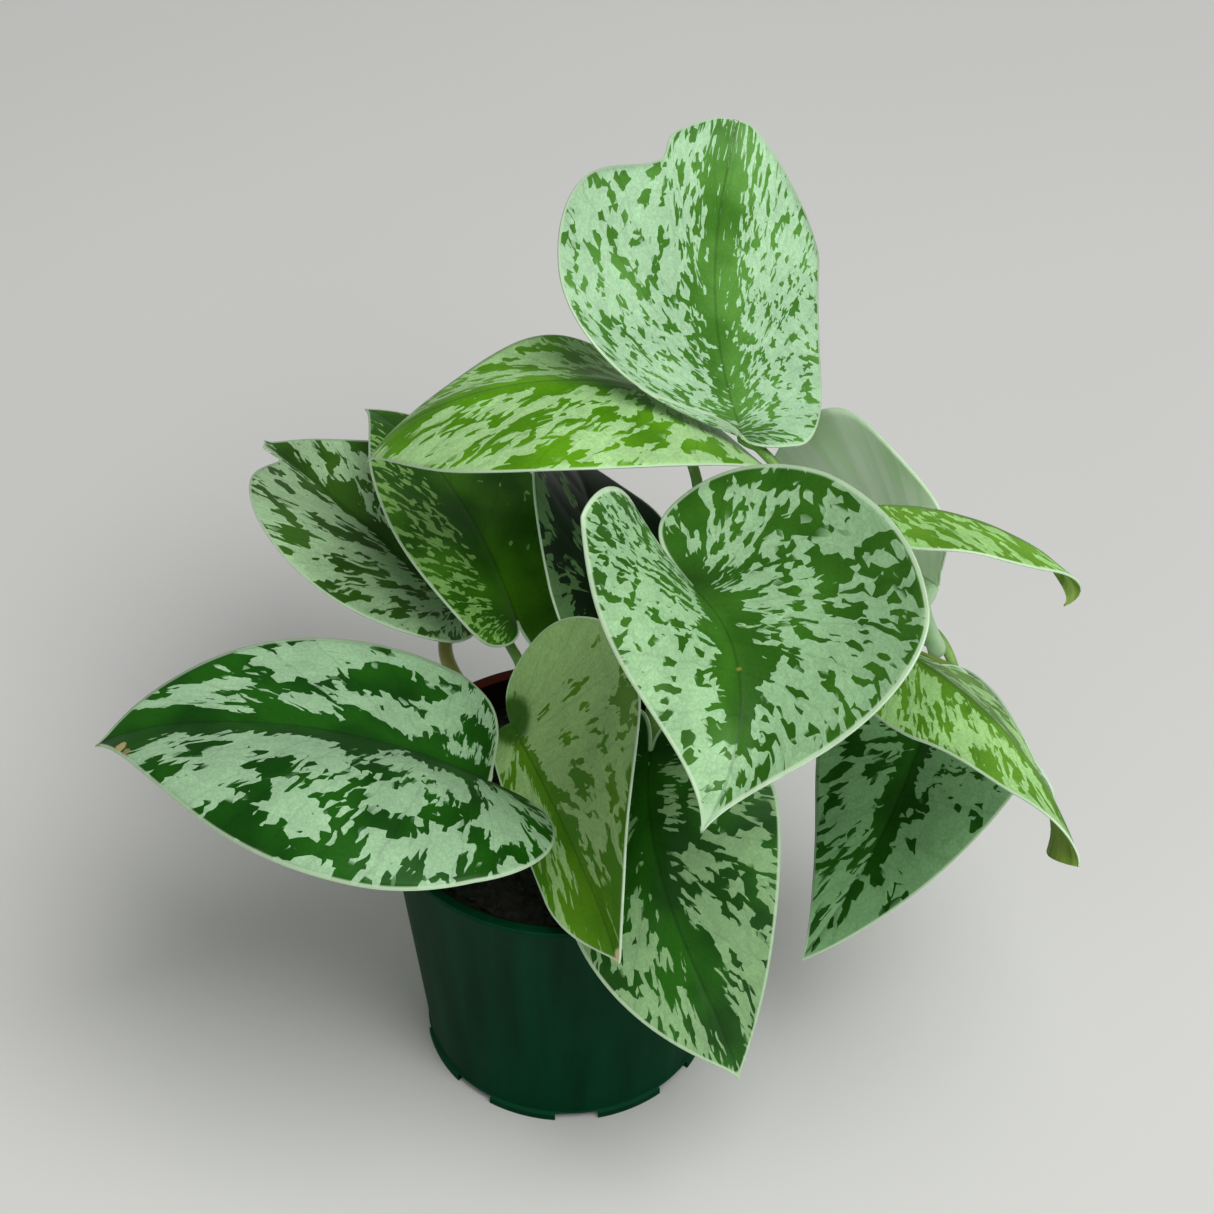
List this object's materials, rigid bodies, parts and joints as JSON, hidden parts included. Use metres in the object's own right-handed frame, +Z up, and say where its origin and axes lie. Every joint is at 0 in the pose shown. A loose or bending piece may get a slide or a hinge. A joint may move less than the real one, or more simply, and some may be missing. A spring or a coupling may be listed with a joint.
{
  "type": "potted exotica satin pothos",
  "caption": "Satin pothos with silver-blotched heart-shaped leaves on thin petioles, rooted in dark soil in a round tapered nursery pot of green plastic.",
  "frame": {"origin": "on the pot's axis, at the level of the ground under its foot", "axes": "+Z up along the pot's axis; +Y away from the side that the picture shows; +X to that view's right"},
  "size_m": [0.2726, 0.245, 0.2711],
  "materials": {
    "pot": "satin moulded plastic, dark green",
    "soil": null,
    "stem": null,
    "leaf": null
  },
  "bodies": {
    "root": {"leaf_back_left": "leaf", "leaf_front_folded": "leaf", "leaf_front_hanging": "leaf", "leaf_front_heart": "leaf", "leaf_hanging_right": "leaf", "leaf_low_left": "leaf", "leaf_lower_right": "leaf", "leaf_middle_dark": "leaf", "leaf_middle_left": "leaf", "leaf_pale_underside": "leaf", "leaf_top": "leaf", "leaf_upper_left": "leaf", "leaf_upper_right": "leaf", "pot": "pot", "soil": "soil", "stem_back_left": "stem", "stem_left": "stem", "stem_right": "stem", "stem_upright": "stem"}
  },
  "joints": []
}
